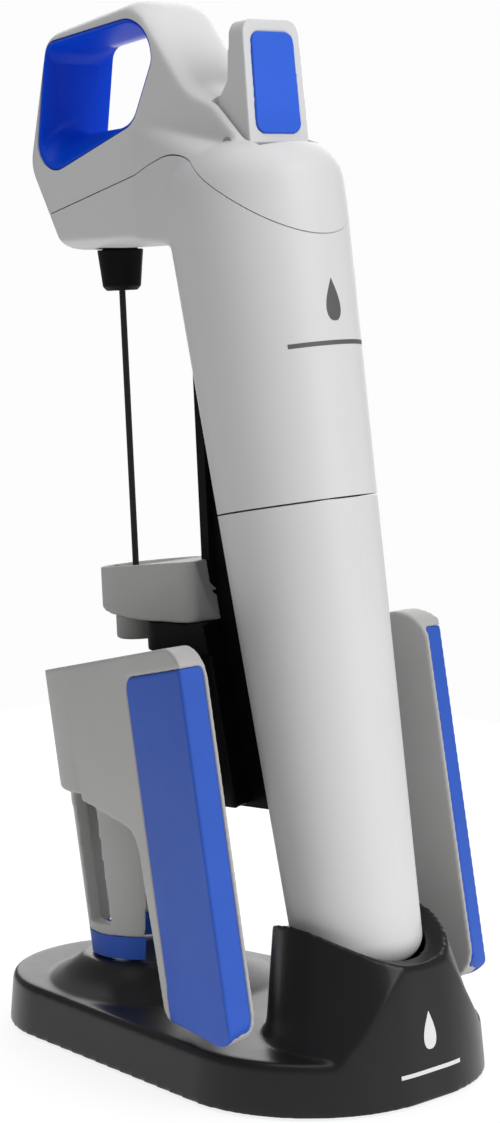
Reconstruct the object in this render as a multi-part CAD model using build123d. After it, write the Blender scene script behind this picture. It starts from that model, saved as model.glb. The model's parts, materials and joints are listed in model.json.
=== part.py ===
from build123d import *
import os
from math import cos, sin, tan, radians, sqrt, pi

# Handheld needle wine dispenser on its display stand, in millimetres.
# The dispenser is drawn with the needle's axis as the Z axis. The long body leans towards -X as it rises,
# so its axis is a second, tilted axis. STANDING then leans the whole dispenser as it stands on its base.
# The stand is drawn where it stands, with Z = 0 as the surface that it rests on.

# ---------- driving dimensions ----------
TILT = 7.5              # lean of the long body from the vertical, degrees
FOOT_X = 71.35          # where the long body's axis meets Z = 0
SEAM_S = 126.8          # distance of the cup seam along the body axis
SEAM_R = 18.0           # outer radius at the cup seam
TAPER = 0.035           # growth of the outer radius per millimetre upwards
WALL = 2.2              # wall of the moulded shells
CUP_END_S = 23.0        # closed end of the capsule cup
DOME_S = 208.0          # top of the long body behind the trigger
DOME_FILLET = 11.0

BLADE_HALF = 11.0       # half width of the finger loop blade
HUB_TOP_Z = 184.8
HUB_BOTTOM_Z = 175.1
NEEDLE_R = 0.75
NEEDLE_TIP_Z = 97.5

RAIL_FRONT_X = 27.0
FLANGE_HALF = 4.0
FLANGE_THICK = 2.6
WEB_HALF = 2.2
RAIL_BOTTOM_Z = 56.0
RAIL_TOP_Z = 184.0
SLIDE_GAP = 0.1
LIFT = 55.0             # travel of the carriage up the rail

BASE_LEAN = 2.8         # lean of the needle's axis from the vertical, degrees
BASE_LIFT = 0.5         # height of the drawing's origin above the surface
BASE_LOW_Z = 0.4        # underside of the stand's body, on its feet
BASE_TOP_Z = 12.2
MOUND_TOP_Z = 17.9
JAW_BOTTOM_Z = 18.4
BAND_TOP_Z = 23.8
JAW_R = 14.9            # outer radius of the jaws at their lower end
JAW_FLARE = 0.084       # growth of the jaw radius per millimetre upwards
JAW_WALL = 3.2
PANEL_SKIN = 2.2        # the upper panel stands this far out from the jaw cone
PIN_X, PIN_Y = 25.0, 15.5
PIN_R = 1.5
KNUCKLE_R = 4.0

# Display stand. Plan outlines are (front x, radius), (rear x, half spacing, radius).
EGG_BOTTOM = ((-8.6, 30.0), (55.5, 4.3, 33.6))
EGG_HIGH = ((-11.0, 25.0), (55.5, 4.3, 29.9))
EGG_HIGH_Z = 40.0
EGG_BOTTOM_IN = ((-8.6, 27.2), (55.5, 4.3, 30.7))
EGG_TOP_IN = ((-9.2, 26.2), (55.5, 4.3, 29.8))
HOLLOW_TOP_Z = 9.4
BASE_EDGE = 1.4
MOUND_CURVE = [(33.0, 8.6), (29.0, 11.2), (24.4, 13.2), (20.2, 15.4), (17.7, 17.2), (16.4, MOUND_TOP_Z)]
SOCKET_GAP = 0.45
SOCKET_OUTER = [(29.8, -4.0), (25.0, 8.0), (23.6, 11.2), (22.4, 14.6), (17.0, 41.0)]
SOCKET_FLOOR_S = 16.0
RIM_LOW_Z = 28.2
RIM_SADDLE_R = 28.5
RIM_SADDLE_TILT = 6.2
PLATE_Z0, PLATE_Z1 = 0.4, 2.2
BOSS_R = 4.0
SCREW_R = 1.3
SCREW_HEAD_R, SCREW_HEAD_H = 2.8, 1.0
FOOT_R = 5.0
FOOT_TOP_Z = 1.0
SCREW_SPOTS = [(-26, 0), (34, -24), (34, 24), (79, 0)]
FOOT_SPOTS = [(-18, -14), (-18, 14), (0, 0), (62, -24), (62, 24)]

# Long body, gas side: distances along the body axis.
CUP_TOP_S = SEAM_S - 0.2
SHELL_LOW_S = SEAM_S + 0.2
THREAD_R = 13.6
THREAD_LOW_S = 113.0
CAPSULE_S0, CAPSULE_S1 = 35.0, 117.0
CUP_END_FILLET = 6.0
CUP_FLOOR_S = CUP_END_S + 3
CAPSULE_R = 11.0
FLANGE_TOP_S = 131.0
BARREL_R = 12.0
BARREL_TOP_S = 166.0
CHAMBER_R = 8.0
PLUNGER_R = 2.0
PIPE_OFFSET = -7.5      # gas pipe beside the regulator's axis

# Head.
# Corners of the side outlines as (x, z, corner radius).
HEAD_CORNERS = [(-10.4, 184.9, 4.0), (-20.4, 205.0, 10.0), (-12.0, 235.9, 7.0), (21.8, 241.2, 9.0),
                (37.5, 220.0, 12.0), (46.0, 216.2, 6.0), (57.5, 204.5, 1.0), (57.5, 184.9, 1.0)]
SEAM_CORNERS = [(-30, 189.2, 1.0), (38.9, 206.0, 19.0), (80, 176.0, 1.0), (80, 60, 1.0), (-30, 60, 1.0)]
RIM_CORNERS = [(-17.0, 200.5, 6.5), (-10.9, 233.3, 4.5), (25.2, 237.2, 9.0), (25.9, 226.0, 5.0),
               (18.5, 212.4, 7.0)]
THROAT_CORNERS = [(-14.6, 212.0, 4.0), (-12.2, 231.0, 6.5), (22.4, 234.2, 5.4), (23.0, 226.5, 5.0),
                  (17.0, 213.1, 6.0)]
HEAD_SKIN = 2.2
LOOP_RIM_WALL = 1.6
SPOUT_PLACE = (-15.2, 203.4)
SPOUT_TURN = -72

# Trigger.
TRIGGER_PIVOT = (49.4, 206.0)
TRIGGER_TOP_Z = 233.0
TRIGGER_PIN_R = 1.5

# Rail and carriage.
STOP_X, STOP_TOP_Z = 43.5, 60.5
RAIL_SCREW_Z = (132.0, 150.0)
HOLE_ROOM = 0.05
CAP_TOP_Z = 110.8
CAP_SLOPE = 0.078
KNUCKLE_LOW, KNUCKLE_HIGH = 65.0, 84.0
LUG_BANDS = [(60.0, KNUCKLE_LOW - 0.4), (KNUCKLE_HIGH + 0.4, 89.0)]
GUIDE_R = 4.4

# Clamps: plan corners are given at PANEL_REF_Z.
PANEL_SLOPE = 0.175
PANEL_TOP_AT_NEEDLE = 88.9
PANEL_REF_Z = 94.0
PADDLE_BOTTOM_Z, PADDLE_BACK_Z = 12.7, 11.8
GRIP_THICK = 1.8
PANEL_START = (-4.0, -21.6)
FOLD = (58.4, -41.9)
BACK_CORNER = (60.2, -35.1)
INNER_START = (-2.6, -17.4)
PANEL_OUTLINE = [PANEL_START, FOLD, BACK_CORNER, INNER_START]
JAW_GAP_HALF = 3.0
SLOT_MID_Z, SLOT_TURN = 42.0, -101.0
SLOT_WIDTH, SLOT_HEIGHT = 9.5, 31.0
GRIP_REACH = 29.2       # front edge of the blue grip, measured like the panel corners

os.makedirs("parts", exist_ok=True)
TUBE = Pos(FOOT_X, 0, 0) * Rot(0, -TILT, 0)
STANDING = Pos(0, 0, BASE_LIFT) * Rot(0, -BASE_LEAN, 0)
BIG = 300.0


def save(node, shape):
    export_step(shape, f"parts/{node}.step")


def tube_r(s):
    """Outer radius of the long body at the distance s along its axis."""
    return SEAM_R + TAPER * (s - SEAM_S)


def turned(points, placement=Location()):
    """Solid of revolution about the local Z axis from (radius, height) points."""
    outline = make_face(Polyline(*[(r, 0, h) for r, h in points], close=True))
    return placement * revolve(outline, Axis.Z)


def upright(radius, x, y, low, high):
    """Vertical cylinder between two heights."""
    return Pos(x, y, (low + high) / 2) * Cylinder(radius, high - low)


def block(x0, x1, half_y, z0, z1):
    """Box centred on the plane of symmetry."""
    return Pos((x0 + x1) / 2, 0, (z0 + z1) / 2) * Box(x1 - x0, 2 * half_y, z1 - z0)


def side_plate(points, half_y, radii=None):
    """Outline in the XZ plane, given as (x, z), thickened both ways along Y."""
    path = [(x, 0, z) for x, z in points]
    if radii is None:
        wire = Polyline(*path, close=True)
    else:
        wire = FilletPolyline(*path, radius=radii, close=True)
    return extrude(make_face(wire), amount=half_y, both=True)


def cone_about_tube(s0, s1, offset):
    """Solid cone coaxial with the long body, offset outwards from its skin."""
    return turned([(0, s0), (tube_r(s0) + offset, s0), (tube_r(s1) + offset, s1), (0, s1)], TUBE)


def mirrored(shape):
    return mirror(shape, about=Plane.XZ)


# ---------- display stand ----------
def hull_face(rounds):
    """Plan outline stretched around circles given as (x, y, radius)."""
    return make_hull([(Pos(x, y) * Circle(r)).edge() for x, y, r in rounds])


def egg_face(front, side, z):
    """Plan outline made of a front circle and two equal rear corner circles."""
    (fx, fr), (bx, by, br) = front, side
    return Pos(0, 0, z) * hull_face([(fx, 0, fr), (bx, -by, br), (bx, by, br)])


def egg_block(bottom, top, z0, z1):
    return loft([egg_face(*bottom, z0), egg_face(*top, z1)], ruled=True)


def base_mound():
    """Raised dome under the jaws, with a concave flank."""
    curve = [(r, 0, z) for r, z in MOUND_CURVE]
    outer_r, low = MOUND_CURVE[0]
    inside = [curve[-1], (0, 0, MOUND_TOP_Z), (0, 0, low - 1), (outer_r, 0, low - 1), curve[0]]
    return STANDING * revolve(make_face(Spline(*curve) + Polyline(*inside)), Axis.Z)


def socket_wall():
    """Leaning cup wall with a flared foot and a rim that dips at the front and the back."""
    foot_s, top_s = SOCKET_OUTER[0][1], SOCKET_OUTER[-1][1]
    wall = STANDING * turned([(0, foot_s)] + SOCKET_OUTER + [(0, top_s)], TUBE)
    wall &= egg_block(EGG_BOTTOM, EGG_HIGH, BASE_LOW_Z, EGG_HIGH_Z)
    wall -= block(-BIG, BIG, BIG, -BIG, BASE_TOP_Z - 2)
    saddle_x = FOOT_X - tan(radians(TILT)) * RIM_LOW_Z
    turn = Rot(0, 90 + RIM_SADDLE_TILT, 0)
    wall -= STANDING * Pos(saddle_x, 0, RIM_LOW_Z + RIM_SADDLE_R) * turn * Cylinder(RIM_SADDLE_R, 120)
    return wall


def socket_well():
    floor_r = tube_r(SOCKET_FLOOR_S) + SOCKET_GAP
    well = [(0, SOCKET_FLOOR_S), (floor_r, SOCKET_FLOOR_S), (tube_r(60) + SOCKET_GAP, 60), (0, 60)]
    return STANDING * turned(well, TUBE)


def stand_base():
    body = egg_block(EGG_BOTTOM, EGG_HIGH, BASE_LOW_Z, EGG_HIGH_Z) - block(-BIG, BIG, BIG, BASE_TOP_Z, BIG)
    body = fillet(body.faces().sort_by(Axis.Z)[-1].edges(), BASE_EDGE)
    mound = base_mound() - block(-BIG, BIG, BIG, -BIG, BASE_TOP_Z - 0.6)
    body = body + mound + socket_wall() - socket_well()
    hollow = egg_block(EGG_BOTTOM_IN, EGG_TOP_IN, PLATE_Z0 - 0.01, HOLLOW_TOP_Z)
    for x, y in SCREW_SPOTS:
        hollow -= upright(BOSS_R, x, y, PLATE_Z1, BASE_TOP_Z)
        hollow += upright(SCREW_R, x, y, PLATE_Z0 - 1, HOLLOW_TOP_Z)
    return body - hollow - plate_blank(0.1)


def plate_blank(grow):
    outline = ((-8.6, 26.9 + grow), (55.5, 4.3, 30.4 + grow))
    return egg_block(outline, outline, PLATE_Z0 - grow, PLATE_Z1)


def stand_plate():
    plate = plate_blank(0)
    for x, y in SCREW_SPOTS:
        plate -= upright(SCREW_R + 0.3, x, y, PLATE_Z0 - 1, PLATE_Z1 + 1)
        plate -= upright(SCREW_HEAD_R + 0.2, x, y, PLATE_Z0 - 1, PLATE_Z0 + SCREW_HEAD_H)
    for x, y in FOOT_SPOTS:
        plate -= upright(FOOT_R, x, y, PLATE_Z0 - 1, FOOT_TOP_Z)
    return plate


def stand_feet():
    return Compound(children=[upright(FOOT_R, x, y, 0, FOOT_TOP_Z) for x, y in FOOT_SPOTS])


def stand_screw(x, y):
    """Screw pointing up, with its head at the lower end."""
    head = upright(SCREW_HEAD_R, x, y, PLATE_Z0, PLATE_Z0 + SCREW_HEAD_H)
    return head + upright(SCREW_R, x, y, PLATE_Z0, PLATE_Z1 + 4)


def stand_screws():
    return Compound(children=[stand_screw(x, y) for x, y in SCREW_SPOTS])


# ---------- long body, gas side ----------
def capsule_cup():
    cup = cone_about_tube(CUP_END_S, CUP_TOP_S, 0)
    cup = fillet(cup.edges().sort_by(Axis.Z)[:1], CUP_END_FILLET)
    bore = tube_r(CUP_END_S) - WALL
    hollow = [(0, CUP_FLOOR_S), (bore - 5, CUP_FLOOR_S), (bore - 0.6, CUP_FLOOR_S + 5),
              (THREAD_R + 0.1, 90), (THREAD_R + 0.1, CUP_TOP_S + 1), (0, CUP_TOP_S + 1)]
    return cup - turned(hollow, TUBE)


def cup_cushion():
    return turned([(0, CUP_FLOOR_S), (6.0, CUP_FLOOR_S), (8.5, CUP_FLOOR_S + 3), (8.5, CAPSULE_S0 - 1),
                   (4.0, CAPSULE_S0 - 1), (4.0, CAPSULE_S0 - 3), (0, CAPSULE_S0 - 3)], TUBE)


def gas_capsule():
    wall = 1.6
    low, high = CAPSULE_S0, CAPSULE_S1
    outer = [(0, low), (7.0, low), (10.0, low + 1.6), (CAPSULE_R, low + 5), (CAPSULE_R, high - 24),
             (9.4, high - 18), (6.0, high - 12), (4.6, high - 8), (4.6, high), (1.4, high)]
    bore = CAPSULE_R - wall
    inner = [(1.4, high - 9), (4.4, high - 14), (bore - 1, high - 20), (bore, high - 25), (bore, low + 6),
              (7.5, low + wall + 1), (0, low + wall + 0.6)]
    return turned(outer + inner, TUBE)


def piercing_pin():
    return turned([(0.4, 112.5), (0.9, 113.5), (0.9, 118), (3.0, 118), (3.0, 122), (0.4, 122)], TUBE)


def regulator_body():
    return turned([(5.2, THREAD_LOW_S), (THREAD_R, THREAD_LOW_S), (THREAD_R, SEAM_S), (14.9, SEAM_S + 1),
                   (14.9, FLANGE_TOP_S), (BARREL_R, FLANGE_TOP_S), (BARREL_R, BARREL_TOP_S),
                   (CHAMBER_R, BARREL_TOP_S), (CHAMBER_R, 134), (0.6, 134), (0.6, 122), (3.0, 122),
                   (3.0, 118), (5.2, 118)], TUBE)


def regulator_piston():
    return turned([(0, 136), (2.5, 136), (2.5, 140), (CHAMBER_R - 0.2, 140), (CHAMBER_R - 0.2, 146),
                   (0, 146)], TUBE)


def regulator_seal():
    return turned([(3.2, 137.5), (5.2, 137.5), (5.2, 139.9), (3.2, 139.9)], TUBE)


def regulator_spring():
    return turned([(5.2, 146.1), (6.6, 146.1), (6.6, 157.9), (5.2, 157.9)], TUBE)


def regulator_cap():
    bore = PLUNGER_R + HOLE_ROOM
    plug = [(bore, 158), (CHAMBER_R, 158), (CHAMBER_R, BARREL_TOP_S), (BARREL_R, BARREL_TOP_S)]
    return turned(plug + [(BARREL_R, 169), (3.5, 169), (3.5, 188), (bore, 188)], TUBE)


# ---------- head ----------
def side_face(corners, y=0.0):
    """Face in a plane parallel to XZ from rounded corners."""
    points = [(x, y, z) for x, z, _ in corners]
    return make_face(FilletPolyline(*points, radius=[r for _, _, r in corners], close=True))


def head_block(shrink):
    """Solid envelope of the head, drawn in by the given amount."""
    face = side_face(HEAD_CORNERS)
    if shrink:
        face = offset(face, amount=-shrink)
    return extrude(face, amount=BLADE_HALF - shrink, both=True)


def tube_block(shrink, low_s):
    """Long body with its domed top, drawn in by the given amount."""
    top = DOME_S - shrink
    radius = tube_r(190) - shrink
    profile = [(0, low_s), (tube_r(low_s) - shrink, low_s), (radius, 190), (radius, top), (0, top)]
    solid = turned(profile)
    rim = solid.edges().filter_by(GeomType.CIRCLE).sort_by(Axis.Z)[-1]
    return TUBE * fillet(rim, DOME_FILLET - shrink)


def below_seam():
    return extrude(side_face(SEAM_CORNERS), amount=60, both=True)


def trigger_pocket():
    return side_plate([(43.0, 203.6), (43.0, 240), (75, 240), (75, 209.5), (54.6, 204.4)], 9.7)


def head_parts():
    blade = head_block(0)
    blade = fillet(blade.faces().filter_by(Axis.Y).edges(), 1.5)
    whole = blade + tube_block(0, SHELL_LOW_S)
    inside = head_block(HEAD_SKIN) + tube_block(WALL, SHELL_LOW_S - 1)
    ring = side_face(RIM_CORNERS)
    ring_wall = extrude(offset(ring, amount=LOOP_RIM_WALL), amount=30, both=True)
    hole = extrude(ring, amount=30, both=True)
    hollow = inside - ring_wall
    lower_zone = below_seam()
    shell = (whole & lower_zone) - hollow
    shell -= upright(5.6, 0, 0, 180, 187.6)
    for hole_cut in rail_screw_list(HOLE_ROOM):
        shell -= hole_cut
    cover = whole - lower_zone - hollow - hole - trigger_pocket() - trigger_pin() - spout_blank()
    return shell, cover


def loop_grip():
    plug = extrude(side_face(RIM_CORNERS), amount=BLADE_HALF, both=True)
    throat = side_face(THROAT_CORNERS)
    mouth_y = BLADE_HALF + 2.0
    near = loft([side_face(RIM_CORNERS, -mouth_y), throat], ruled=True)
    far = loft([throat, side_face(RIM_CORNERS, mouth_y)], ruled=True)
    return plug - near - far


def gas_manifold():
    block_part = side_plate([(-5.2, 187.2), (40.0, 187.2), (36.0, 197.6), (-5.2, 192.0)], 5.5)
    bore = upright(4.05, 0, 0, 185, 190.0)
    return block_part - bore - upright(1.2, 0, 0, 185, 191.5)


def manifold_pipe():
    """Gas pipe from the regulator cap up to the manifold."""
    return turned([(0.8, 0), (1.6, 0), (1.6, 20.4), (0.8, 20.4)], TUBE * Pos(PIPE_OFFSET, 0, 169))


def spout_rod(radius, back, front):
    """Round rod along the direction in which the spout points."""
    x, z = SPOUT_PLACE
    rod = [(0, -back), (radius, -back), (radius, front), (0, front)]
    return turned(rod, Pos(x, 0, z) * Rot(0, SPOUT_TURN, 0))


def spout_blank():
    return spout_rod(1.7, 6.0, 3.4)


def pour_spout():
    return spout_blank() - spout_rod(0.9, 7.0, 4.0)


# ---------- trigger ----------
def trigger_round(radius, length):
    """Round rod through the trigger's pivot."""
    px, pz = TRIGGER_PIVOT
    return Pos(px, 0, pz) * Rot(90, 0, 0) * Cylinder(radius, length)


def trigger():
    side = side_plate([(52.9, TRIGGER_TOP_Z), (48.6, TRIGGER_TOP_Z - 0.4), (47.6, 220.0), (44.6, 216.0),
                       (44.6, 205.5), (52.0, 203.6), (54.4, 206.0)], 12)
    top = TRIGGER_TOP_Z + 0.1
    corners = [(0, -8.6, top), (0, 8.6, top), (0, 9.3, 203), (0, -9.3, 203)]
    front = make_face(FilletPolyline(*corners, radius=[3.6, 3.6, 0.5, 0.5], close=True))
    lever = side & extrude(Pos(50, 0, 0) * front, amount=20, both=True)
    return lever - trigger_round(TRIGGER_PIN_R + HOLE_ROOM, 40) - trigger_pad()


def trigger_pad():
    corners = [(0, -6.4, 230.2), (0, 6.4, 230.2), (0, 6.9, 208.0), (0, -6.9, 208.0)]
    outline = make_face(FilletPolyline(*corners, radius=2.4, close=True))
    outer = extrude(Pos(50, 0, 0) * outline, amount=10, both=True)
    slab = side_plate([(51.7, 232), (53.4, 232), (54.8, 206), (53.1, 206)], 12)
    return outer & slab


def trigger_pin():
    return trigger_round(TRIGGER_PIN_R, 23.0)


def valve_plunger():
    head = [(PLUNGER_R, 203.4), (3.4, 203.4), (3.4, 205.4), (0, 205.4)]
    return turned([(0, 160), (PLUNGER_R, 160)] + head, TUBE)


def trigger_spring():
    return turned([(2.6, 188.1), (3.3, 188.1), (3.3, 203.3), (2.6, 203.3)], TUBE)


# ---------- needle ----------
def needle_hub():
    low = [(NEEDLE_R, HUB_BOTTOM_Z), (3.6, HUB_BOTTOM_Z), (4.5, HUB_BOTTOM_Z + 1.0)]
    high = [(5.4, HUB_TOP_Z - 0.3), (5.4, HUB_TOP_Z - 0.1), (4.0, HUB_TOP_Z - 0.1)]
    return turned(low + high + [(4.0, 189.6), (NEEDLE_R, 189.6)])


def needle():
    return turned([(0.4, NEEDLE_TIP_Z + 1.5), (NEEDLE_R, NEEDLE_TIP_Z), (NEEDLE_R, 189.4), (0.4, 189.4)])


# ---------- rail ----------
def rail_blank():
    flange = block(RAIL_FRONT_X, RAIL_FRONT_X + FLANGE_THICK, FLANGE_HALF, RAIL_BOTTOM_Z, RAIL_TOP_Z)
    web = block(RAIL_FRONT_X + FLANGE_THICK - 0.5, 60, WEB_HALF, RAIL_BOTTOM_Z, RAIL_TOP_Z)
    return flange + web


def rail():
    bar = rail_blank() - block(STOP_X, 60, 5, 50, STOP_TOP_Z)
    bar = bar - cone_about_tube(20, SEAM_S + 2, 0.6) - cone_about_tube(SEAM_S + 2, 220, 0.0)
    for hole_cut in rail_screw_list(HOLE_ROOM):
        bar -= hole_cut
    return bar


def rail_end_stop():
    stop = block(STOP_X, 60, 1.8, RAIL_BOTTOM_Z, STOP_TOP_Z)
    return stop - cone_about_tube(20, SEAM_S + 2, 0.6)


def rail_screw_list(room=0.0):
    """Screws through the shell into the rail, or the holes for them with a little room."""
    screws = []
    for z in RAIL_SCREW_Z:
        along = z / cos(radians(TILT))
        skin_x = FOOT_X - tan(radians(TILT)) * z - tube_r(along) / cos(radians(TILT))
        shank = Pos(skin_x - 0.5, 0, z) * Rot(0, 90, 0) * Cylinder(0.8 + room, 6.5 + 2 * room)
        head = Pos(skin_x + 3.3, 0, z) * Rot(0, 90, 0) * Cylinder(1.8 + room, 1.2 + 2 * room)
        screws.append(shank + head)
    return screws


# ---------- carriage ----------
def swept_tube_room():
    """Space that the long body needs when the carriage is lifted."""
    return Pos(0, 0, -LIFT) * cone_about_tube(60, 230, 1.0)


def rail_channel():
    front, back = RAIL_FRONT_X - SLIDE_GAP, RAIL_FRONT_X + FLANGE_THICK + SLIDE_GAP
    flange = block(front, back, FLANGE_HALF + SLIDE_GAP, 40, 130)
    web = block(RAIL_FRONT_X, 70, WEB_HALF + SLIDE_GAP, 40, 130)
    return flange + web


def carriage_body():
    core = block(14, 46, 9.5, 57.0, 99.0)
    core = fillet(core.edges().filter_by(Axis.Z).sort_by(Axis.X)[:2], 5.0)
    collar = block(11, 36, 11.2, 91.8, 99.0)
    core += fillet(collar.edges().filter_by(Axis.Z).sort_by(Axis.X)[:2], 7.0)
    for low, high in LUG_BANDS:
        for side in (-1, 1):
            lug = upright(KNUCKLE_R, PIN_X, side * PIN_Y, low, high)
            lug += Pos(PIN_X, side * (PIN_Y - 5), (low + high) / 2) * Box(2 * KNUCKLE_R, 8, high - low)
            core += lug
    for side in (-1, 1):
        core -= upright(PIN_R, PIN_X, side * PIN_Y, 50, 99)
        core -= upright(KNUCKLE_R + 0.5, PIN_X, side * PIN_Y, KNUCKLE_LOW - 0.4, KNUCKLE_HIGH + 0.4)
    return core - rail_channel() - swept_tube_room()


def cap_outline(inset):
    return hull_face([(6.8, 0, 12.8 - inset), (28.0, -9.0, 3.0 - inset), (28.0, 9.0, 3.0 - inset)])


def cap_top(x):
    """Point of the cap's sloping top in the XZ plane."""
    return (x, CAP_TOP_Z + CAP_SLOPE * x)


def carriage_cap():
    cap = Pos(0, 0, 90) * extrude(cap_outline(0), amount=40)
    underside = [(60, 99.1), (14, 99.1), (4, 100.2), (-6, 102.0), (-20, 104.5)]
    cap &= side_plate([cap_top(-20), cap_top(60)] + underside, 40)
    recess = Pos(0, 0, 90) * extrude(cap_outline(1.5), amount=40)
    recess &= side_plate([(-20, cap_top(-20)[1] - 1.5), cap_top(19), (19, 130), (-20, 130)], 40)
    cap -= recess
    cap -= upright(GUIDE_R + 0.05, 0, 0, 80, 108.0)
    cap -= upright(NEEDLE_R + 0.35, 0, 0, 80, 130)
    return cap - rail_channel() - swept_tube_room()


def needle_guide():
    bore = NEEDLE_R + 0.06
    return turned([(bore, 93.0), (4.8, 93.0), (5.3, 93.5), (5.3, 98.6), (GUIDE_R, 98.8), (GUIDE_R, 107.5),
                   (bore, 107.5)])


def hinge_pin(side):
    return upright(PIN_R - 0.05, PIN_X, side * PIN_Y, 60.0, 89.0)


# ---------- clamps ----------
def leaning(points, low, high):
    """Plan outline at PANEL_REF_Z swept along the long body's lean."""
    shift = tan(radians(TILT)) * (PANEL_REF_Z - low)
    face = make_face(Polyline(*[(x + shift, y, low) for x, y in points], close=True))
    direction = (-sin(radians(TILT)), 0, cos(radians(TILT)))
    return extrude(face, amount=(high - low) / cos(radians(TILT)), dir=direction)


def on_panel(x, depth=0.0):
    """Point on the outer face of the side panel, moved inwards by depth."""
    (x0, y0), (x1, y1) = PANEL_START, FOLD
    t = (x - x0) / (x1 - x0)
    length = sqrt((x1 - x0) ** 2 + (y1 - y0) ** 2)
    nx, ny = -(y1 - y0) / length, (x1 - x0) / length
    return (x + nx * depth, y0 + t * (y1 - y0) + ny * depth)


def panel_top(x, drop=0.0):
    """Point of the panel's sloping top in the XZ plane, lowered by drop."""
    return (x, PANEL_TOP_AT_NEEDLE + PANEL_SLOPE * x - drop)


def panel_profile():
    corners = [panel_top(-30), panel_top(59.6), (71.0, PADDLE_BACK_Z), (37.4, PADDLE_BOTTOM_Z),
               (29.6, 54.0), (6.0, 56.6), (-30, 59.8)]
    return side_plate(corners, 60, radii=[0.5, 8.5, 7.5, 3.0, 7.0, 4.0, 0.5])


def jaw_cone(z0, z1, extra, wall):
    r0, r1 = (JAW_R + JAW_FLARE * (z - JAW_BOTTOM_Z) + extra for z in (z0, z1))
    return turned([(r0 - wall, z0), (r0, z0), (r1, z1), (r1 - wall, z1)])


def jaw_sector():
    """Angular room of the left jaw, from beside the front gap to the rear gap."""
    corners = [(-40, -JAW_GAP_HALF), (-3, -JAW_GAP_HALF), (8.0, -11.6), (40, -11.6), (40, -60), (-40, -60)]
    return extrude(make_face(Polyline(*corners, close=True)), amount=120)


def slot_window():
    """Slot through the side of the left jaw."""
    return Pos(0, 0, SLOT_MID_Z) * Rot(0, 0, SLOT_TURN) * Pos(20, 0, 0) * Box(30, SLOT_WIDTH, SLOT_HEIGHT)


def clamp_shell():
    upper = jaw_cone(BAND_TOP_Z, 96, 0, JAW_WALL) + jaw_cone(54, 96, PANEL_SKIN, JAW_WALL)
    upper &= jaw_sector()
    upper -= slot_window()
    above_panel = side_plate([panel_top(-40), panel_top(60), (60, 130), (-40, 130)], 60)
    skin_cut = turned([(JAW_R + JAW_FLARE * 36, 50), (40, 50), (40, 58.2), (JAW_R + JAW_FLARE * 40, 58.2)])
    upper = upper - above_panel - skin_cut
    panel = leaning(PANEL_OUTLINE, 5, 115) & panel_profile()
    panel -= turned([(0, 5), (JAW_R - 1, 5), (JAW_R + JAW_FLARE * 90 - 1, 110), (0, 110)])
    knuckle = upright(KNUCKLE_R, PIN_X, -PIN_Y, KNUCKLE_LOW, KNUCKLE_HIGH)
    knuckle_mid = (KNUCKLE_LOW + KNUCKLE_HIGH) / 2
    arm = Pos(PIN_X, -PIN_Y - 5.5, knuckle_mid) * Box(5.0, 11.0, KNUCKLE_HIGH - KNUCKLE_LOW)
    shell = upper + panel + knuckle + arm
    shell -= upright(PIN_R + 0.05, PIN_X, -PIN_Y, 50, 99)
    return shell - clamp_grip_block()


def grip_front(z):
    """Front edge of the grip at a height, following the long body's lean."""
    return GRIP_REACH + 0.5 + tan(radians(TILT)) * (PANEL_REF_Z - z)


def clamp_grip_block():
    start = on_panel(GRIP_REACH, -1.0)
    inner = on_panel(GRIP_REACH, GRIP_THICK)
    fold_out, back_out = (59.2, -43.2), (60.9, -36.35)
    bend, back_inner = (57.15, -39.6), (58.2, -35.64)
    blank = leaning([start, fold_out, back_out, back_inner, bend, inner], 5, 115)
    blank &= leaning(PANEL_OUTLINE, 5, 115)
    low = PADDLE_BACK_Z - 2
    corners = [panel_top(grip_front(88), 5.0), panel_top(90, 5.0), (90, low), (36.0, low), (35.0, 17.5),
               (grip_front(17.5), 17.5)]
    return blank & side_plate(corners, 60, radii=[3.5, 1.0, 1.0, 1.0, 0.5, 3.0]) & panel_profile()


def jaw_band():
    return jaw_cone(JAW_BOTTOM_Z, BAND_TOP_Z, 0, JAW_WALL) & jaw_sector()


def clamp_spring(side):
    inner, outer = PIN_R + 0.2, PIN_R + 1.1
    return Pos(PIN_X, side * PIN_Y, 0) * turned([(inner, 57.2), (outer, 57.2), (outer, 59.6), (inner, 59.6)])


def build():
    shell, cover = head_parts()
    nodes = {
        "capsule_cup": capsule_cup(), "cup_cushion": cup_cushion(),
        "gas_capsule": gas_capsule(), "piercing_pin": piercing_pin(), "regulator_body": regulator_body(),
        "regulator_piston": regulator_piston(), "regulator_seal": regulator_seal(),
        "regulator_spring": regulator_spring(), "regulator_cap": regulator_cap(), "body_shell": shell,
        "head_cover": cover, "loop_grip": loop_grip(), "gas_manifold": gas_manifold(),
        "manifold_pipe": manifold_pipe(), "pour_spout": pour_spout(), "trigger": trigger(),
        "trigger_pad": trigger_pad(), "trigger_pin": trigger_pin(), "valve_plunger": valve_plunger(),
        "trigger_spring": trigger_spring(), "needle_hub": needle_hub(), "needle": needle(), "rail": rail(),
        "rail_end_stop": rail_end_stop(), "carriage_body": carriage_body(),
        "carriage_cap": carriage_cap(), "needle_guide": needle_guide(),
    }
    nodes["rail_screw_low"], nodes["rail_screw_high"] = rail_screw_list()
    left = {"clamp": clamp_shell(), "clamp_grip": clamp_grip_block(), "jaw_band": jaw_band()}
    for name, shape in left.items():
        nodes[f"{name}_left"] = shape
        nodes[f"{name}_right"] = mirrored(shape)
    for name, side in (("left", -1), ("right", 1)):
        nodes[f"hinge_pin_{name}"] = hinge_pin(side)
        nodes[f"clamp_spring_{name}"] = clamp_spring(side)
    nodes = {name: STANDING * shape for name, shape in nodes.items()}
    nodes.update({"stand_base": stand_base(), "stand_plate": stand_plate(), "stand_feet": stand_feet(),
                  "stand_screws": stand_screws()})
    return nodes


for node_name, node_shape in build().items():
    save(node_name, node_shape)
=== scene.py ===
import itertools
import json
import math

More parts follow.
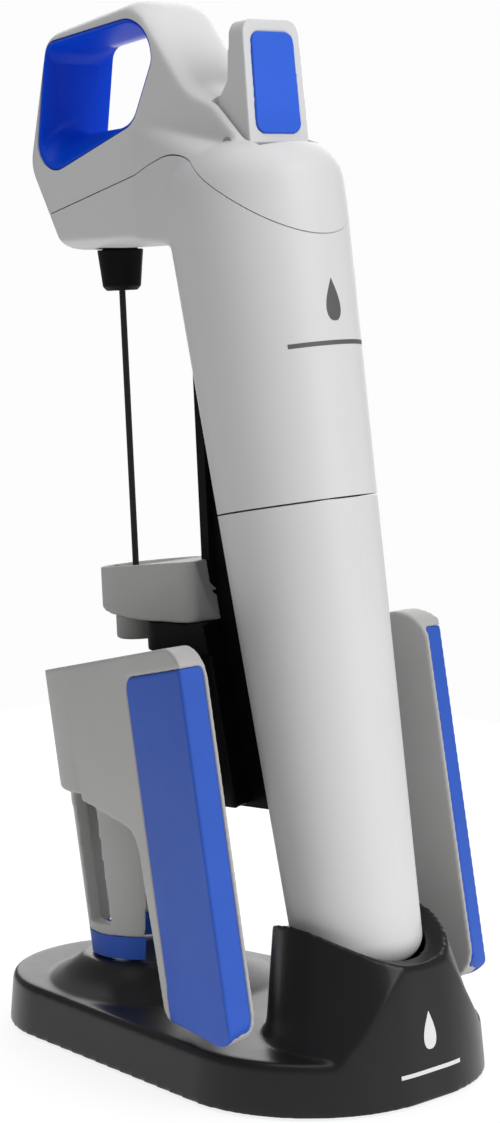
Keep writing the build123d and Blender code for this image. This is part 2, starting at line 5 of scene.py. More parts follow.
import bmesh
import bpy
from mathutils import Matrix, Vector
from mathutils.bvhtree import BVHTree


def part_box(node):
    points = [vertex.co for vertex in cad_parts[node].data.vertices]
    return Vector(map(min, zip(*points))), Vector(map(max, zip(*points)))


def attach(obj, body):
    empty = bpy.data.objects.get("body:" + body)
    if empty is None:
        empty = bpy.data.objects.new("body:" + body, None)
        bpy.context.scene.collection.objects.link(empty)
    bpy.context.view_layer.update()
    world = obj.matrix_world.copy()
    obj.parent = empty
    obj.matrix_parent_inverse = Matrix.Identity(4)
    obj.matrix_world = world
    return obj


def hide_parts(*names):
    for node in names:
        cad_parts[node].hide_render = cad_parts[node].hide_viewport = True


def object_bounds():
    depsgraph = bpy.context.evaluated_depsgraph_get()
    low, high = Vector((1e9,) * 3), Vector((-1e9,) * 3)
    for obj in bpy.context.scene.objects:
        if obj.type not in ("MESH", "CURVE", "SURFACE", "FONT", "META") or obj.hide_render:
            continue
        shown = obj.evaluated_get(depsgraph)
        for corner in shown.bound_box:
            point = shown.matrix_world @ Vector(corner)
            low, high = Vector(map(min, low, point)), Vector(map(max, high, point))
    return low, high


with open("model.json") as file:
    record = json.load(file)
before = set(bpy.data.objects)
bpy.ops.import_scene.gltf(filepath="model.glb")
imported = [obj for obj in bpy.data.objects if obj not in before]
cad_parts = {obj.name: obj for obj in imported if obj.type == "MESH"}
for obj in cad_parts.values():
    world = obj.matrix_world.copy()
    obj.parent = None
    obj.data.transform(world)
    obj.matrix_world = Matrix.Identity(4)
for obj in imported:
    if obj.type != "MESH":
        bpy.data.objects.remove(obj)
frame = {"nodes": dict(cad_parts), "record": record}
CAD_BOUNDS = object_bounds()

MM = 0.001      # one millimetre of the drawing in the frame's metres
METRE = 1000    # one metre of the frame in the drawing's millimetres

# The dispenser is drawn with its needle upright, and leans like this on its stand.
BASE_LEAN = math.radians(2.8)
BASE_LIFT = 0.5
STANDING = Matrix.Translation((0, 0, BASE_LIFT * MM)) @ Matrix.Rotation(-BASE_LEAN, 4, "Y")

# ---------------------------------------------------------------- camera
CAMERA_PLACE = Vector((0.5100, -0.4587, 0.1748))
CAMERA_AZIMUTH = 45.77      # degrees, as are the next two
CAMERA_DOWN = 5.42
CAMERA_ROLL = 2.63
CAMERA_LENS = 93.05
CAMERA_NEAR = 0.01
SENSOR = 36.0


def make_camera():
    """Camera on the side of the trigger and the left clamp, looking down a little and rolled slightly."""
    az, down, roll = (math.radians(v) for v in (CAMERA_AZIMUTH, CAMERA_DOWN, CAMERA_ROLL))
    forward = Vector((-math.sin(az) * math.cos(down), math.cos(az) * math.cos(down), -math.sin(down)))
    level = Vector((math.cos(az), math.sin(az), 0.0))
    upright = level.cross(forward)
    right = math.cos(roll) * level - math.sin(roll) * upright
    up = math.sin(roll) * level + math.cos(roll) * upright
    data = bpy.data.cameras.new("camera")
    data.lens = CAMERA_LENS
    data.sensor_width = SENSOR
    data.clip_start = CAMERA_NEAR
    camera = add_object("camera", data)
    camera.matrix_world = STANDING @ Matrix((
        (right.x, up.x, -forward.x, CAMERA_PLACE.x),
        (right.y, up.y, -forward.y, CAMERA_PLACE.y),
        (right.z, up.z, -forward.z, CAMERA_PLACE.z),
        (0, 0, 0, 1)))
    bpy.context.scene.camera = camera


# ---------------------------------------------------------------- stage
# Lamps as name, place, (width, height) and power; all of them point at LIT_SPOT.
LAMPS = [
    ("key", (0.85, 0.15, 0.55), (0.6, 0.8), 5.7),
    ("top", (0.05, -0.1, 0.95), (0.8, 0.8), 2.8),
    ("rear", (-0.5, 0.6, 0.45), (0.7, 0.9), 3.6),
]
LIT_SPOT = Vector((0.03, 0, 0.12))
SURROUND_STRENGTH = 0.27    # what lights the object from all sides
BACKDROP_STRENGTH = 0.98    # what shows behind it
FLOOR_HALF = 0.35
FLOOR_DROP = 0.0001
FLOOR_GREY = 0.2
FLOOR_ROUGHNESS = 0.9
FLOOR_GLOW = 0.84


def area_light(name, place, size, power):
    data = bpy.data.lights.new(name, "AREA")
    data.shape = "RECTANGLE"
    data.size, data.size_y = size
    data.energy = power
    lamp = add_object(name, data)
    lamp.location = place
    lamp.visible_camera = False
    lamp.rotation_euler = (LIT_SPOT - Vector(place)).to_track_quat("-Z", "Y").to_euler()


def make_world():
    """Dim white surround, with a bright white backdrop where the camera looks straight at it."""
    world = bpy.data.worlds.new("studio")
    bpy.context.scene.world = world
    world.use_nodes = True
    nodes, links = world.node_tree.nodes, world.node_tree.links
    surround = nodes["Background"]
    backdrop = nodes.new("ShaderNodeBackground")
    for node, strength in ((surround, SURROUND_STRENGTH), (backdrop, BACKDROP_STRENGTH)):
        node.inputs["Color"].default_value = (1.0, 1.0, 1.0, 1)
        node.inputs["Strength"].default_value = strength
    path = nodes.new("ShaderNodeLightPath")
    blend = nodes.new("ShaderNodeMixShader")
    links.new(path.outputs["Is Camera Ray"], blend.inputs["Fac"])
    links.new(surround.outputs["Background"], blend.inputs[1])
    links.new(backdrop.outputs["Background"], blend.inputs[2])
    links.new(blend.outputs["Shader"], nodes["World Output"].inputs["Surface"])


def make_floor():
    """Sheet of softly glowing white paper under the stand."""
    bm = bmesh.new()
    bmesh.ops.create_grid(bm, x_segments=2, y_segments=2, size=FLOOR_HALF)
    mesh = new_mesh(bm, "floor")
    floor = add_object("floor", mesh)
    floor.location.z = CAD_BOUNDS[0][2] - FLOOR_DROP
    material, shader = new_material("floor_paper")[:2]
    shader.inputs["Base Color"].default_value = (FLOOR_GREY, FLOOR_GREY, FLOOR_GREY, 1)
    shader.inputs["Roughness"].default_value = FLOOR_ROUGHNESS
    shader.inputs["Emission Color"].default_value = (1, 1, 1, 1)
    shader.inputs["Emission Strength"].default_value = FLOOR_GLOW
    mesh.materials.append(material)


def make_stage():
    make_world()
    bpy.context.scene.view_settings.view_transform = "Standard"
    for name, place, size, power in LAMPS:
        area_light(name, place, size, power)
    make_floor()


# ---------------------------------------------------------------- materials
NOISE_ROUGHNESS = 0.6
DRIFT_SCALE = 26
DRIFT_STOPS = (0.35, 0.65)
GLOSS_SCALE = 90
GLOSS_SPREAD = (-0.05, 0.07)            # how far the roughness of plastic strays down and up
GRAIN_DEPTH = 0.0001
METAL_GLOSS_SPREAD = (-0.06, 0.1)
METAL_LINES = 0.08
METAL_LINE_DEPTH = 0.00005


def new_material(name):
    material = bpy.data.materials.new(name)
    material.use_nodes = True
    nodes, links = material.node_tree.nodes, material.node_tree.links
    return material, nodes["Principled BSDF"], nodes, links


def object_noise(nodes, links, scale, detail=4.0):
    """Noise in the piece's own metres."""
    place = nodes.new("ShaderNodeTexCoord")
    noise = nodes.new("ShaderNodeTexNoise")
    noise.inputs["Scale"].default_value = scale
    noise.inputs["Detail"].default_value = detail
    noise.inputs["Roughness"].default_value = NOISE_ROUGHNESS
    links.new(place.outputs["Object"], noise.inputs["Vector"])
    return noise


def moulded_plastic(name, colour, roughness, grain=0.15, grain_scale=5200, spread=0.05, specular=0.4):
    """Moulded plastic with fine grain, slow colour drift and uneven gloss."""
    material, shader, nodes, links = new_material(name)
    drift = object_noise(nodes, links, DRIFT_SCALE)
    ramp = nodes.new("ShaderNodeValToRGB")
    low = tuple(c * (1 - spread) for c in colour)
    high = tuple(min(1.0, c * (1 + spread)) for c in colour)
    for stop, shade, position in zip(ramp.color_ramp.elements, (low, high), DRIFT_STOPS):
        stop.color = (*shade, 1)
        stop.position = position
    links.new(drift.outputs["Fac"], ramp.inputs["Fac"])
    links.new(ramp.outputs["Color"], shader.inputs["Base Color"])
    gloss = object_noise(nodes, links, GLOSS_SCALE)
    scale = nodes.new("ShaderNodeMapRange")
    scale.inputs["To Min"].default_value = roughness + GLOSS_SPREAD[0]
    scale.inputs["To Max"].default_value = roughness + GLOSS_SPREAD[1]
    links.new(gloss.outputs["Fac"], scale.inputs["Value"])
    links.new(scale.outputs["Result"], shader.inputs["Roughness"])
    fine = object_noise(nodes, links, grain_scale, detail=2.0)
    bump = nodes.new("ShaderNodeBump")
    bump.inputs["Strength"].default_value = grain
    bump.inputs["Distance"].default_value = GRAIN_DEPTH
    links.new(fine.outputs["Fac"], bump.inputs["Height"])
    links.new(bump.outputs["Normal"], shader.inputs["Normal"])
    shader.inputs["Specular IOR Level"].default_value = specular
    return material


def brushed_metal(name, colour, roughness, stretch=(60, 60, 2400)):
    """Metal with fine lines in its gloss and surface; stretch is how fine they are along each axis."""
    material, shader, nodes, links = new_material(name)
    place = nodes.new("ShaderNodeTexCoord")
    mapping = nodes.new("ShaderNodeMapping")
    mapping.inputs["Scale"].default_value = stretch
    noise = nodes.new("ShaderNodeTexNoise")
    noise.inputs["Scale"].default_value = 1.0
    noise.inputs["Detail"].default_value = 3.0
    links.new(place.outputs["Object"], mapping.inputs["Vector"])
    links.new(mapping.outputs["Vector"], noise.inputs["Vector"])
    scale = nodes.new("ShaderNodeMapRange")
    scale.inputs["To Min"].default_value = roughness + METAL_GLOSS_SPREAD[0]
    scale.inputs["To Max"].default_value = roughness + METAL_GLOSS_SPREAD[1]
    links.new(noise.outputs["Fac"], scale.inputs["Value"])
    links.new(scale.outputs["Result"], shader.inputs["Roughness"])
    bump = nodes.new("ShaderNodeBump")
    bump.inputs["Strength"].default_value = METAL_LINES
    bump.inputs["Distance"].default_value = METAL_LINE_DEPTH
    links.new(noise.outputs["Fac"], bump.inputs["Height"])
    links.new(bump.outputs["Normal"], shader.inputs["Normal"])
    shader.inputs["Base Color"].default_value = (*colour, 1)
    shader.inputs["Metallic"].default_value = 1.0
    return material


# Plastics: name, colour, roughness, grain, grain scale, spread of the colour, specular level.
WHITE = moulded_plastic("shell_satin", (0.70, 0.70, 0.705), 0.40, 0.06, 4000, 0.012, 0.3)
GREY = moulded_plastic("clamp_grey", (0.45, 0.445, 0.44), 0.5, 0.22, 5200, 0.03)
BLUE = moulded_plastic("soft_blue", (0.030, 0.105, 0.52), 0.5, 0.6, 2600, 0.06, 0.2)
BLUE_BRIGHT = moulded_plastic("trigger_blue", (0.035, 0.13, 0.72), 0.5, 0.6, 2400, 0.05, 0.15)
LOOP = moulded_plastic("loop_blue", (0.002, 0.075, 0.72), 0.33, 0.04, 5200, 0.03, 0.12)
BLACK = moulded_plastic("black_satin", (0.006, 0.006, 0.007), 0.42, 0.12, 4200, 0.1, 0.1)
STAND = moulded_plastic("stand_black", (0.010, 0.010, 0.011), 0.30, 0.1, 4200, 0.1, 0.28)
RUBBER = moulded_plastic("black_rubber", (0.02, 0.02, 0.02), 0.8, 0.3, 3000, 0.1)
STEEL = brushed_metal("ground_steel", (0.62, 0.62, 0.63), 0.25)
ALLOY = brushed_metal("machined_alloy", (0.75, 0.75, 0.76), 0.3, (2400, 2400, 60))
COATED = moulded_plastic("coated_steel", (0.016, 0.016, 0.018), 0.35, 0.05, 5200, 0.1)
DARK_INK = moulded_plastic("grey_ink", (0.10, 0.10, 0.105), 0.5, 0.05, 5200, 0.03)
PALE_INK = moulded_plastic("pale_ink", (0.72, 0.72, 0.72), 0.5, 0.05, 5200, 0.03)

FINISHES = {
    "shell_white": WHITE, "clamp_grey": GREY, "grip_blue": BLUE, "loop_blue": LOOP, "black_plastic": BLACK,
    "stand_black": STAND, "steel": STEEL, "alloy": ALLOY, "black_rubber": RUBBER, "coated_steel": COATED,
}
SLOT_OF = {part["node"]: part["material_slot"] for part in frame["record"]["subparts"]}
BODIES = frame["record"]["behaviour"]["bodies"]
BODY_OF = {node: body for body, nodes in BODIES.items() for node in nodes}


def dress_frame():
    """Gives every carried-over CAD node the material of its slot."""
    for node, slot_name in SLOT_OF.items():
        for slot in frame["nodes"][node].material_slots:
            slot.material = FINISHES[slot_name]


# ---------------------------------------------------------------- mesh tools
TILT = math.radians(7.5)    # lean of the long body against the needle
FOOT_X = 71.35              # x at which the long body's axis crosses z = 0
SEAM_S = 126.8              # distance of the cup seam along the long body's axis
SEAM_R = 18.0               # outer radius there
TAPER = 0.035               # growth of the radius for each millimetre upwards
DOME_S = 208.0              # top of the dome
DOME_ROUND = 11.0           # radius of the dome's edge
BLADE_HALF = 11.0           # half the thickness of the head at its finger loop
WELD_REACH = 1e-6
SMOOTH_SHARE = 0.5


def new_mesh(bm, name):
    """Mesh data from a bmesh, which is freed."""
    mesh = bpy.data.meshes.new(name)
    bm.to_mesh(mesh)
    bm.free()
    return mesh


def add_object(name, data):
    """New object in the scene that shows a mesh, a lamp or a camera."""
    thing = bpy.data.objects.new(name, data)
    bpy.context.collection.objects.link(thing)
    return thing


def mm(x, y, z):
    """Point of the part's drawing, in millimetres, as a place in the frame."""
    return STANDING @ (Vector((x, y, z)) * MM)


def tube_r(s):
    """Outer radius of the long body at the distance s along its axis."""
    return SEAM_R + TAPER * (s - SEAM_S)


def tube_point(radius, angle, s):
    """Point at a radius and angle about the long body's axis, at the distance s along it."""
    across, side = radius * math.cos(angle), radius * math.sin(angle)
    x = FOOT_X + across * math.cos(TILT) - s * math.sin(TILT)
    return mm(x, side, across * math.sin(TILT) + s * math.cos(TILT))


def tube_frame(point):
    """Distance along the long body's axis, radius and angle of a place in the frame."""
    x, y, z = (STANDING.inverted() @ point) * METRE
    x -= FOOT_X
    s = -x * math.sin(TILT) + z * math.cos(TILT)
    across = x * math.cos(TILT) + z * math.sin(TILT)
    return s, math.hypot(across, y), math.atan2(y, across)


def rounded(corners, steps=10):
    """Closed outline of (x, z) points from corners given as (x, z, radius)."""
    points = []
    count = len(corners)
    for i, (x, z, radius) in enumerate(corners):
        here = Vector((x, z))
        before, after = Vector(corners[i - 1][:2]), Vector(corners[(i + 1) % count][:2])
        arrive, leave = (before - here).normalized(), (after - here).normalized()
        half = arrive.angle(leave) / 2
        reach = radius / math.tan(half)
        centre = here + (arrive + leave).normalized() * (radius / math.sin(half))
        start, end = here + arrive * reach - centre, here + leave * reach - centre
        sweep = start.angle_signed(end)
        for k in range(steps + 1):
            turn = -sweep * k / steps
            points.append((centre.x + start.x * math.cos(turn) - start.y * math.sin(turn),
                           centre.y + start.x * math.sin(turn) + start.y * math.cos(turn)))
    return points


def inset(outline, amount):
    """The outline drawn in along its normals."""
    area = sum(a[0] * b[1] - b[0] * a[1] for a, b in zip(outline, outline[1:] + outline[:1]))
    turn = 1 if area > 0 else -1
    moved = []
    count = len(outline)
    for i, (x, z) in enumerate(outline):
        ahead, behind = Vector(outline[(i + 1) % count]), Vector(outline[i - 1])
        along = (ahead - behind).normalized()
        moved.append((x - turn * along.y * amount, z + turn * along.x * amount))
    return moved


def mesh_from(rings, close_rings=False):
    """Mesh through rings of equal length; the ends are capped or joined to each other."""
    bm = bmesh.new()
    rows = [[bm.verts.new(p) for p in ring] for ring in rings]
    pairs = list(zip(rows, rows[1:]))
    if close_rings:
        pairs.append((rows[-1], rows[0]))
    for low, high in pairs:
        for i in range(len(low)):
            j = (i + 1) % len(low)
            bm.faces.new((low[i], low[j], high[j], high[i]))
    if not close_rings:
        bm.faces.new(list(reversed(rows[0])))
        bm.faces.new(rows[-1])
    bmesh.ops.recalc_face_normals(bm, faces=bm.faces)
    return new_mesh(bm, "work")


def prism(outline, half):
    """Outline in the XZ plane thickened both ways along Y."""
    return mesh_from([[mm(x, side * half, z) for x, z in outline] for side in (-1, 1)])


def modified(mesh, *steps):
    """The mesh after a chain of modifiers, given as (type, settings)."""
    work = add_object("work", mesh)
    for kind, settings in steps:
        modifier = work.modifiers.new(kind.lower(), kind)
        for key, value in settings.items():
            setattr(modifier, key, value)
    bpy.context.view_layer.update()
    evaluated = work.evaluated_get(bpy.context.evaluated_depsgraph_get())
    result = bpy.data.meshes.new_from_object(evaluated)
    bpy.data.objects.remove(work)
    return result


def cut(mesh, tool, operation="DIFFERENCE"):
    """Boolean of two closed meshes."""
    cutter = add_object("cutter", tool)
    settings = {"operation": operation, "object": cutter, "solver": "MANIFOLD"}
    result = modified(mesh, ("BOOLEAN", settings))
    bpy.data.objects.remove(cutter)
    return result


def soften(mesh, voxel, rounds):
    """Closed mesh rebuilt on a fine grid, with its edges rounded."""
    return modified(mesh, ("WELD", {"merge_threshold": WELD_REACH}),
                    ("REMESH", {"mode": "VOXEL", "voxel_size": voxel}),
                    ("SMOOTH", {"factor": SMOOTH_SHARE, "iterations": rounds}))


def joined(*meshes):
    """One mesh that holds all of the given ones."""
    bm = bmesh.new()
    for mesh in meshes:
        bm.from_mesh(mesh)
    return new_mesh(bm, "joined")


def add_piece(name, mesh, material, body, nodes=(), sharp=35.0):
    """Shows a mesh as a piece of the object, riding on a body, in place of the given CAD nodes."""
    mesh.name = name
    mesh.materials.clear()
    mesh.materials.append(material)
    mesh.shade_smooth()
    mesh.set_sharp_from_angle(angle=math.radians(sharp))
    piece = add_object(name, mesh)
    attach(piece, body)
    if nodes:
        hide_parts(*nodes)


# ---------------------------------------------------------------- head
# Corners of the side outlines as (x, z, corner radius), in the drawing's millimetres.
HEAD_CORNERS = [(-10.4, 184.9, 4.0), (-20.4, 205.0, 10.0), (-12.0, 235.9, 7.0), (21.8, 241.2, 9.0),
                (37.5, 220.0, 12.0), (46.0, 216.2, 6.0), (57.5, 204.5, 2.5), (57.5, 184.9, 2.5)]
SEAM_CORNERS = [(-30, 189.2, 1.0), (38.9, 206.0, 19.0), (80, 176.0, 1.0), (80, 60, 1.0), (-30, 60, 1.0)]
RIM_CORNERS = [(-17.0, 200.5, 6.5), (-10.9, 233.3, 4.5), (25.2, 237.2, 9.0), (25.9, 226.0, 5.0),
               (18.5, 212.4, 7.0)]
THROAT_CORNERS = [(-14.6, 212.0, 4.0), (-12.2, 231.0, 6.5), (22.4, 234.2, 5.4), (23.0, 226.5, 5.0),
                  (17.0, 213.1, 6.0)]
POCKET_CORNERS = [(43.2, 203.6, 1.5), (43.2, 240, 1.5), (75, 240, 1.5), (75, 209.5, 1.5), (54.6, 204.4, 1.5)]
POCKET_HALF = 9.8
THROUGH = 30.0              # half length of a cutter that passes right through the head
BELOW_HALF = 60.0           # half the thickness of the cutter below the seam
SHELL_LOW_S = 127.0         # lower end of the shell
TUBE_START_S = 112.0        # where the tube starts before its end is cut square
KNEE_S, SHOULDER_S = 150.0, 190.0
SEAM_GAP = 0.3
CROWN = 2.4                 # how far the slab's outline is drawn in at its two side faces
CROWN_POWER = 4
SHELL_WALL = 2.2
RIM_WALL = 2.0              # wall left around the finger loop
RIM_ROOM = 0.06             # room between the shell and the loop's lining
SEAT_ROOM = 0.35            # room around the needle's hub
SEAT_LOW_Z, SEAT_HIGH_Z = 178.0, 190.0
HEAD_VOXEL = 0.0006
HOLLOW_VOXEL, HOLLOW_FINAL_VOXEL = 0.0016, 0.0014
HEAD_ROUNDS = 9
BLADE_STATIONS = (0.0, 0.4, 0.65, 0.82, 0.93, 1.0)      # shares of the half thickness


def both_sides(stations):
    """Stations from one face through the middle to the other, from those of one half."""
    return [-place for place in reversed(stations[1:])] + list(stations)


def blade_mesh():
    """Crowned slab of the finger loop and head."""
    outline = rounded(HEAD_CORNERS, steps=12)
    rings = []
    for place in both_sides(BLADE_STATIONS):
        drawn_in = inset(outline, CROWN * abs(place) ** CROWN_POWER)
        rings.append([mm(x, place * BLADE_HALF, z) for x, z in drawn_in])
    return mesh_from(rings)


def full_turn(steps):
    """Evenly spaced angles once around."""
    return [2 * math.pi * i / steps for i in range(steps)]


def tube_mesh(steps=96, dome_steps=12):
    """Long body with its domed top."""
    top_r = tube_r(SHOULDER_S)
    profile = [(tube_r(s), s) for s in (TUBE_START_S, KNEE_S, SHOULDER_S)]
    profile.append((top_r, DOME_S - DOME_ROUND))
    for k in range(1, dome_steps + 1):
        turn = k * math.pi / 2 / dome_steps
        radius = top_r - DOME_ROUND * (1 - math.cos(turn))
        profile.append((radius, DOME_S - DOME_ROUND * (1 - math.sin(turn))))
    return mesh_from([[tube_point(r, a, s) for a in full_turn(steps)] for r, s in profile])


SHOULDER_BOX = ((17.0, 22.0), (-10.6, 10.6), (186.6, 212.0))
SHOULDER_RINGS = ((188.0, 0.4), (204.0, 3.4))      # distance along the body, depth under its skin


def shoulder_mesh(steps=48):
    """Hull that widens the slab into the round body."""
    bm = bmesh.new()
    for x, y, z in itertools.product(*SHOULDER_BOX):
        bm.verts.new(mm(x, y, z))
    for s, depth in SHOULDER_RINGS:
        for angle in full_turn(steps):
            bm.verts.new(tube_point(tube_r(s) - depth, angle, s))
    bmesh.ops.convex_hull(bm, input=bm.verts)
    loose = [v for v in bm.verts if not v.link_faces]
    bmesh.ops.delete(bm, geom=loose, context="VERTS")
    return new_mesh(bm, "shoulder")


def below_seam(shift):
    """Cutter that fills everything below the head's seam, with the seam moved up by shift."""
    corners = [(x, z + shift, r) for x, z, r in SEAM_CORNERS]
    return prism(rounded(corners, steps=24), BELOW_HALF)


CONE_TOP_S = 182.0          # up to here the long body's skin is put on its cone
CONE_BLEND = 8.0            # length over which the cone fades into the softened skin
SKIN_DEPTH = 1.2            # vertices within this distance of the cone belong to the skin


def true_tube(mesh):
    """Puts the plain lower part of the long body exactly on its cone and cuts its end square."""
    bm = bmesh.new()
    bm.from_mesh(mesh)
    for vert in bm.verts:
        s, radius, angle = tube_frame(vert.co)
        away = abs(radius - tube_r(s))
        if s < CONE_TOP_S and away < SKIN_DEPTH:
            share = min(1.0, (CONE_TOP_S - s) / CONE_BLEND)
            vert.co = vert.co.lerp(tube_point(tube_r(s), angle, s), share)
    place = tube_point(0, 0, SHELL_LOW_S)
    normal = tube_point(0, 0, SHELL_LOW_S + 1) - place
    everything = bm.verts[:] + bm.edges[:] + bm.faces[:]
    result = bmesh.ops.bisect_plane(bm, geom=everything, plane_co=place, plane_no=normal, clear_inner=True)
    rim = [e for e in result["geom_cut"] if isinstance(e, bmesh.types.BMEdge)]
    bmesh.ops.holes_fill(bm, edges=rim, sides=0)
    bmesh.ops.recalc_face_normals(bm, faces=bm.faces)
    return new_mesh(bm, "whole")


def hub_seat(steps=64):
    """Round cutter a little wider than the needle's hub."""
    low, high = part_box("needle_hub")
    radius = (high[0] - low[0]) * METRE / 2 + SEAT_ROOM
    ring = [(radius * math.cos(a), radius * math.sin(a)) for a in full_turn(steps)]
    return mesh_from([[mm(x, y, z) for x, y in ring] for z in (SEAT_LOW_Z, SEAT_HIGH_Z)])


def hollow_of(whole):
    """The room inside the walls of the head and the long body."""
    return modified(whole, ("REMESH", {"mode": "VOXEL", "voxel_size": HOLLOW_VOXEL}),
                    ("DISPLACE", {"strength": -SHELL_WALL * MM, "mid_level": 0.0}),
                    ("REMESH", {"mode": "VOXEL", "voxel_size": HOLLOW_FINAL_VOXEL}))


def build_head():
    """White shell of the long body and the cover with the finger loop, parted at the seam."""
    whole = soften(joined(blade_mesh(), tube_mesh(), shoulder_mesh()), HEAD_VOXEL, HEAD_ROUNDS)
    hollow = hollow_of(whole)
    whole = true_tube(whole)
    rim = rounded(RIM_CORNERS)
    whole = cut(whole, cut(hollow, prism(inset(rim, -RIM_WALL), THROUGH)))
    whole = cut(whole, prism(inset(rim, -RIM_ROOM), THROUGH))
    whole = cut(whole, hub_seat())
    shell = cut(whole, below_seam(-SEAM_GAP / 2), "INTERSECT")
    cover = cut(whole, below_seam(SEAM_GAP / 2))
    cover = cut(cover, prism(rounded(POCKET_CORNERS, steps=6), POCKET_HALF))
    add_piece("shell_lower", shell, WHITE, "device", ["body_shell"])
    add_piece("shell_upper", cover, WHITE, "device", ["head_cover"])


LINING_STATIONS = (0.0, 0.2, 0.35, 0.5, 0.65, 0.8, 0.9, 0.97, 1.0)     # shares of LINING_FACE
LINING_FACE = BLADE_HALF - 0.25
LINING_EDGE = 0.3           # how far the outer edge of the lining's mouth is set back
LIP, LIP_AT_MOUTH = 0.7, 0.35
FLARE_POWER = 1.7
LINING_SHARP = 50


def build_lining():
    """Blue lining of the finger loop, a bellmouth that narrows towards the middle."""
    rim, throat = rounded(RIM_CORNERS), rounded(THROAT_CORNERS)
    rings = []
    for place in both_sides(LINING_STATIONS):
        share = 1 - abs(place) ** FLARE_POWER
        inner = inset(rim, LIP_AT_MOUTH if abs(place) == 1.0 else LIP)
        rings.append([mm(a + (c - a) * share, place * LINING_FACE, b + (d - b) * share)
                      for (a, b), (c, d) in zip(inner, throat)])
    for side in (1, -1):
        rings.append([mm(x, side * (LINING_FACE - LINING_EDGE), z) for x, z in rim])
    mesh = mesh_from(rings, close_rings=True)
    add_piece("loop_lining", mesh, LOOP, "device", ["loop_grip"], sharp=LINING_SHARP)


# ---------------------------------------------------------------- softened copies
# CAD node, visual piece, grid size in millimetres, rounds of smoothing and material.
SOFT_PIECES = [
    ("clamp_left", "clamp_arm_left", 0.42, 5, GREY), ("clamp_right", "clamp_arm_right", 0.42, 5, GREY),
    ("clamp_grip_left", "grip_pad_left", 0.4, 4, BLUE), ("clamp_grip_right", "grip_pad_right", 0.4, 4, BLUE),
    ("carriage_cap", "slide_cap", 0.35, 4, GREY), ("carriage_body", "slide_block", 0.4, 3, BLACK),
    ("trigger", "trigger_lever", 0.25, 5, WHITE), ("trigger_pad", "trigger_inlay", 0.22, 4, BLUE_BRIGHT),
    ("stand_base", "stand_body", 0.6, 6, STAND), ("needle_hub", "hub_skirt", 0.2, 3, BLACK),
    ("needle_guide", "guide_collar", 0.25, 3, GREY),
]
SOFT_SHARP = 60


def build_soft_pieces():
    """Moulded pieces with the rounded edges of a mould in place of the CAD's sharp ones."""
    for node, name, voxel, rounds, material in SOFT_PIECES:
        mesh = soften(frame["nodes"][node].data.copy(), voxel * MM, rounds)
        add_piece(name, mesh, material, BODY_OF[node], [node], sharp=SOFT_SHARP)


# ---------------------------------------------------------------- marks
MARK_HEIGHT = 0.05          # how far a mark stands out of its surface
MARK_ROOT = 0.3             # how far it goes into it
DROP_TRIM = 0.01            # share of the droplet's height left off at each end
DROP_WIDTH = 0.62
DROP_POINT = 1.15           # power that draws the top into a point
DROP_EDGE = 0.004


def border(layer):
    """The outer loop of a grid of vertices."""
    right = [row[-1] for row in layer[1:]]
    left = [row[0] for row in reversed(layer[1:-1])]
    return layer[0] + right + list(reversed(layer[-1][:-1])) + left


def patch(rows, place, columns=16):
    """Thin closed skin laid on a surface by place(across, up, height); each row is (up, left, right)."""
    bm = bmesh.new()
    layers = []
    for height in (-MARK_ROOT, MARK_HEIGHT):
        layer = []
        for up, left, right in rows:
            across = [left + (right - left) * i / columns for i in range(columns + 1)]
            layer.append([bm.verts.new(place(x, up, height)) for x in across])
        layers.append(layer)
    for layer in layers:
        for low, high in zip(layer, layer[1:]):
            for i in range(columns):
                bm.faces.new((low[i], low[i + 1], high[i + 1], high[i]))
    root, face = (border(layer) for layer in layers)
    for i in range(len(root)):
        j = (i + 1) % len(root)
        bm.faces.new((root[i], root[j], face[j], face[i]))
    bmesh.ops.recalc_face_normals(bm, faces=bm.faces)
    return new_mesh(bm, "mark")


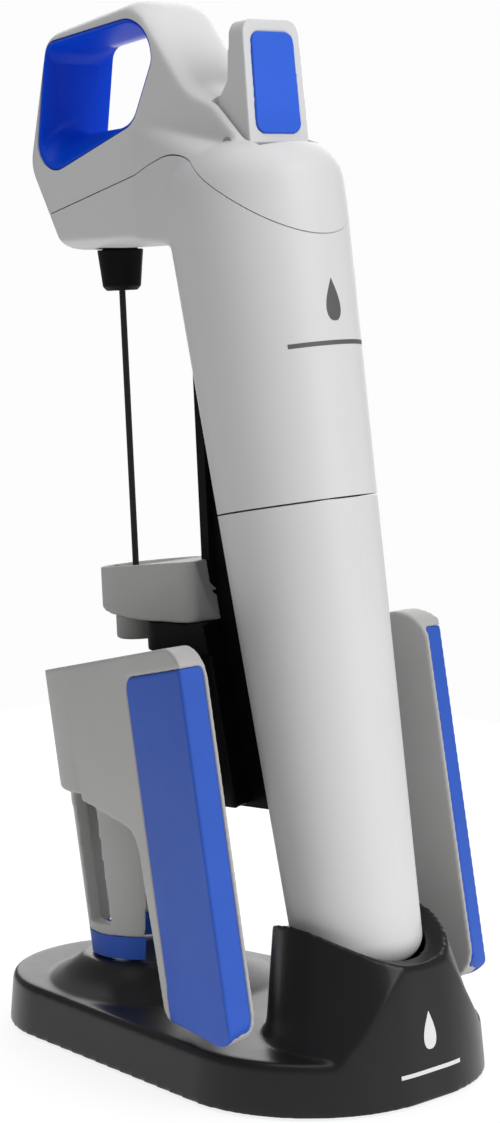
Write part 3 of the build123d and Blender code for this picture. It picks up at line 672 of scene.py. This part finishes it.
def drop_rows(height, pieces=28):
    """Rows of a plain droplet, pointed at the top."""
    rows = []
    for i in range(pieces + 1):
        t = DROP_TRIM + (1 - 2 * DROP_TRIM) * i / pieces
        half = height * DROP_WIDTH * math.sqrt(t) * (1 - t) ** DROP_POINT + height * DROP_EDGE
        rows.append((height * (t - 0.5), -half, half))
    return rows


def strip_rows(half, thick):
    """Rows of a plain bar."""
    return [(-thick / 2, -half, half), (thick / 2, -half, half)]


def on_tube(s0):
    """Places a mark on the +X side of the long body, centred at the distance s0 along its axis."""
    def place(across, up, height):
        return tube_point(tube_r(s0 + up) + height, across / tube_r(s0), s0 + up)
    return place


def on_stand(wall, z0):
    """Places a mark on the +X wall of the stand, centred at the height z0."""
    def place(across, up, height):
        start = Vector((OUTSIDE_X, across, z0 + up)) * MM
        spot = wall.ray_cast(start, Vector((-1, 0, 0)))[0]
        return spot + Vector((height * MM, 0, 0))
    return place


BODY_DROP_S, BODY_BAR_S = 170.0, 160.6
BODY_DROP_HEIGHT = 9.5
BODY_BAR_HALF, BODY_BAR_THICK = 12.5, 1.0
STAND_DROP_Z, STAND_BAR_Z = 16.0, 7.2
STAND_DROP_HEIGHT = 8.5
STAND_BAR_HALF, STAND_BAR_THICK = 9.5, 0.9
OUTSIDE_X = 200.0           # clear of the stand on the side of its mark


def build_marks():
    """A droplet over a bar, in dark ink on the long body and in pale ink on the stand."""
    drop = patch(drop_rows(BODY_DROP_HEIGHT), on_tube(BODY_DROP_S))
    bar = patch(strip_rows(BODY_BAR_HALF, BODY_BAR_THICK), on_tube(BODY_BAR_S))
    add_piece("body_mark", joined(drop, bar), DARK_INK, "device")
    bm = bmesh.new()
    bm.from_mesh(frame["nodes"]["stand_base"].data)
    wall = BVHTree.FromBMesh(bm)
    bm.free()
    drop = patch(drop_rows(STAND_DROP_HEIGHT), on_stand(wall, STAND_DROP_Z))
    bar = patch(strip_rows(STAND_BAR_HALF, STAND_BAR_THICK), on_stand(wall, STAND_BAR_Z))
    add_piece("stand_mark", joined(drop, bar), PALE_INK, "stand")


make_camera()
make_stage()
dress_frame()
build_head()
build_lining()
build_soft_pieces()
build_marks()
